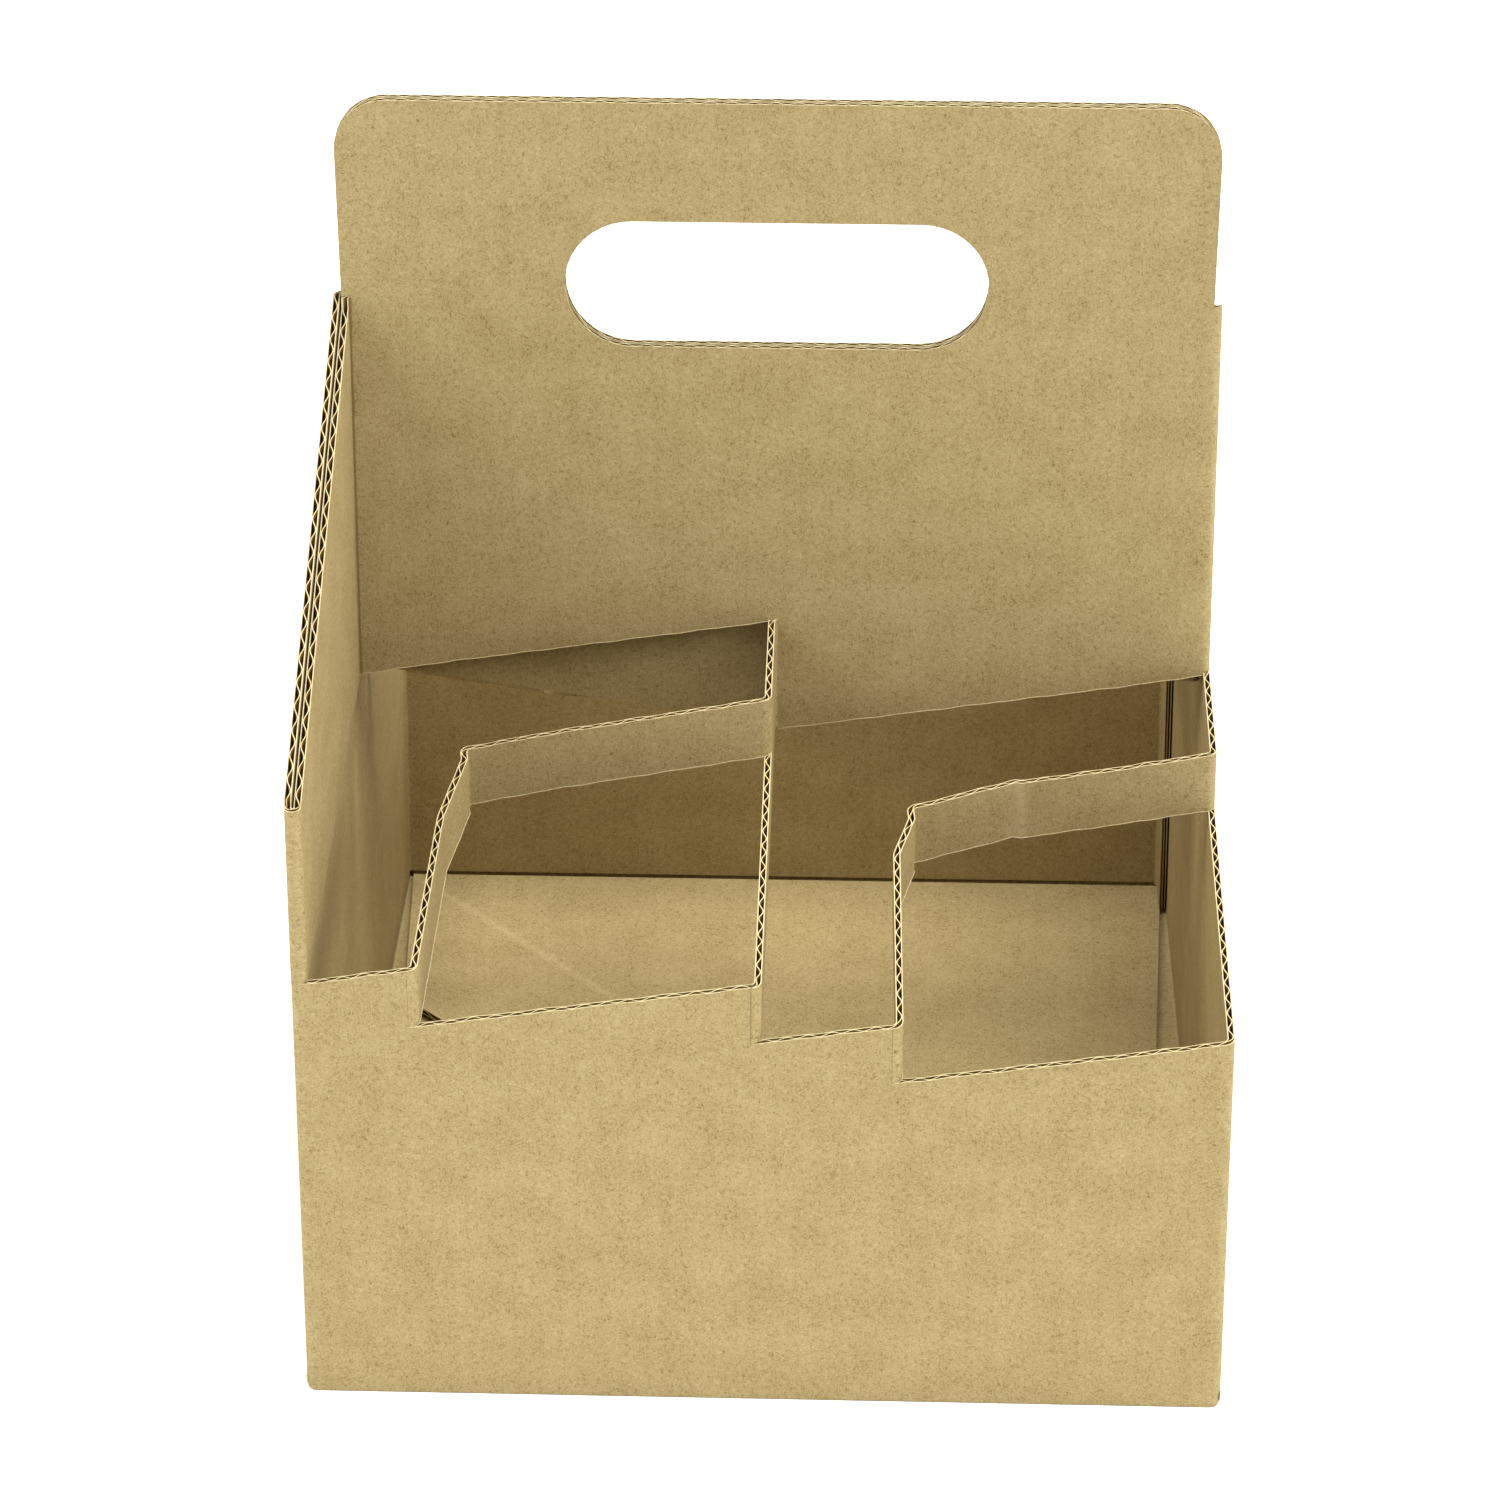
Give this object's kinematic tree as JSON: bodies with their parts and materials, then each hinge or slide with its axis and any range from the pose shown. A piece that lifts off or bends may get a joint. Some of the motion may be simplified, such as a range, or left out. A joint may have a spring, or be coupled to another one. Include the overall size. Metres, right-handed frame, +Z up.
{
  "type": "cup carrier",
  "caption": "Folded corrugated kraft board carrier with a middle handle, slanted cut straps and open pockets for drink cups.",
  "frame": {"origin": "middle of the base, on the surface that the carrier stands on", "axes": "+Z up along the handle, +X to the right seen from the front, +Y to the back"},
  "size_m": [0.21, 0.22, 0.275],
  "materials": {
    "kraft_board": "uncoated brown kraft liner, matte"
  },
  "bodies": {
    "root": {"carrier": "kraft_board"}
  },
  "joints": []
}
